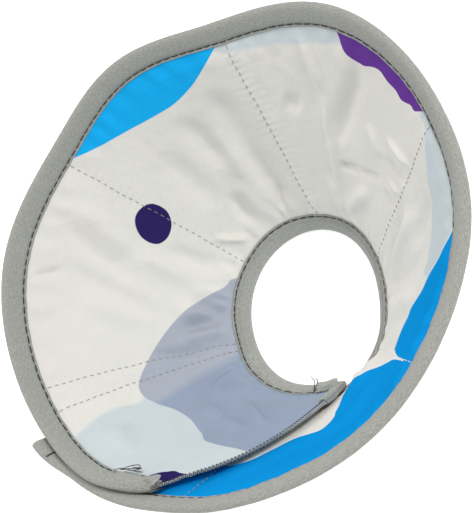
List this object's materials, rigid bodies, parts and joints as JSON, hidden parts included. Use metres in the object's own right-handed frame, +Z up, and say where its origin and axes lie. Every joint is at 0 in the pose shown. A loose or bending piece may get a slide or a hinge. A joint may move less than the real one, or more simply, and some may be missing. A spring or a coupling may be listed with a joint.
{
  "type": "elizabethan collar",
  "caption": "Soft padded cone collar, printed lining, taped neck and rim edges, quilted fold lines and a wrap-over flap with hook-and-loop closure.",
  "frame": {"origin": "middle of the neck opening, in the plane the neck edge stands on", "axes": "+Z up along the cone from neck to wide mouth; -X toward the overlapping flaps, +X toward the back section; +Y to the side of the over flap's fold"},
  "size_m": [0.2479, 0.2478, 0.1094],
  "materials": {
    "lining_cloth": "satin woven cloth, printed",
    "outer_cloth": "satin woven cloth, printed",
    "padding": "soft padding",
    "edge_tape": "fine woven bias tape",
    "fold_thread": "sewing thread",
    "edge_thread": "overlock thread",
    "hook": "hook tape",
    "loop": "brushed loop tape"
  },
  "bodies": {
    "under_flap": {"padding_under_flap": "padding", "lining_under_flap": "lining_cloth", "outer_cloth_under_flap": "outer_cloth", "rim_tape_under_flap": "edge_tape", "neck_tape_under_flap": "edge_tape", "hook_strip": "hook", "overlock_under_flap": "edge_thread"},
    "side_low": {"padding_side_low": "padding", "lining_side_low": "lining_cloth", "outer_cloth_side_low": "outer_cloth", "rim_tape_side_low": "edge_tape", "neck_tape_side_low": "edge_tape", "fold_thread_1": "fold_thread"},
    "side_right": {"padding_side_right": "padding", "lining_side_right": "lining_cloth", "outer_cloth_side_right": "outer_cloth", "rim_tape_side_right": "edge_tape", "neck_tape_side_right": "edge_tape", "fold_thread_2": "fold_thread"},
    "back": {"padding_back": "padding", "lining_back": "lining_cloth", "outer_cloth_back": "outer_cloth", "rim_tape_back": "edge_tape", "neck_tape_back": "edge_tape", "fold_thread_3": "fold_thread", "fold_thread_4": "fold_thread"},
    "side_top": {"padding_side_top": "padding", "lining_side_top": "lining_cloth", "outer_cloth_side_top": "outer_cloth", "rim_tape_side_top": "edge_tape", "neck_tape_side_top": "edge_tape", "fold_thread_5": "fold_thread"},
    "side_left": {"padding_side_left": "padding", "lining_side_left": "lining_cloth", "outer_cloth_side_left": "outer_cloth", "rim_tape_side_left": "edge_tape", "neck_tape_side_left": "edge_tape", "fold_thread_6": "fold_thread"},
    "over_flap": {"padding_over_flap": "padding", "lining_over_flap": "lining_cloth", "outer_cloth_over_flap": "outer_cloth", "rim_tape_over_flap": "edge_tape", "neck_tape_over_flap": "edge_tape", "loop_strip": "loop", "overlock_over_flap": "edge_thread"}
  },
  "joints": [
    {"name": "open_side_right", "type": "hinge", "parent": "back", "child": "side_right", "pos_m": [0.03027, -0.02041, 0], "axis": [0.562, -0.3564, 0.7464], "range_deg": [0, 41]},
    {"name": "open_side_low", "type": "hinge", "parent": "side_right", "child": "side_low", "pos_m": [-0.00157, -0.04491, 0], "axis": [-0.0189, -0.7075, 0.7064], "range_deg": [0, 41]},
    {"name": "open_under_flap", "type": "hinge", "parent": "side_low", "child": "under_flap", "pos_m": [-0.04257, -0.02458, 0], "axis": [-0.5207, -0.3907, 0.7591], "range_deg": [0, 75.01]},
    {"name": "open_side_top", "type": "hinge", "parent": "back", "child": "side_top", "pos_m": [0.03543, 0.02301, 0], "axis": [-0.3826, -0.3701, -0.8466], "range_deg": [0, 41]},
    {"name": "open_side_left", "type": "hinge", "parent": "side_top", "child": "side_left", "pos_m": [-0.00144, 0.04129, 0], "axis": [0.0963, -0.5501, -0.8295], "range_deg": [0, 41]},
    {"name": "peel_over_flap", "type": "hinge", "parent": "side_left", "child": "over_flap", "pos_m": [-0.03485, 0.012, 0], "axis": [-0.6909, 0.1146, 0.7138], "range_deg": [0, 80]}
  ],
  "couplings": [
    {"joint": "open_side_low", "follows": "open_side_right", "ratio": 1},
    {"joint": "open_under_flap", "follows": "open_side_right", "ratio": 1.8293},
    {"joint": "open_side_top", "follows": "open_side_right", "ratio": 1},
    {"joint": "open_side_left", "follows": "open_side_right", "ratio": 1}
  ]
}
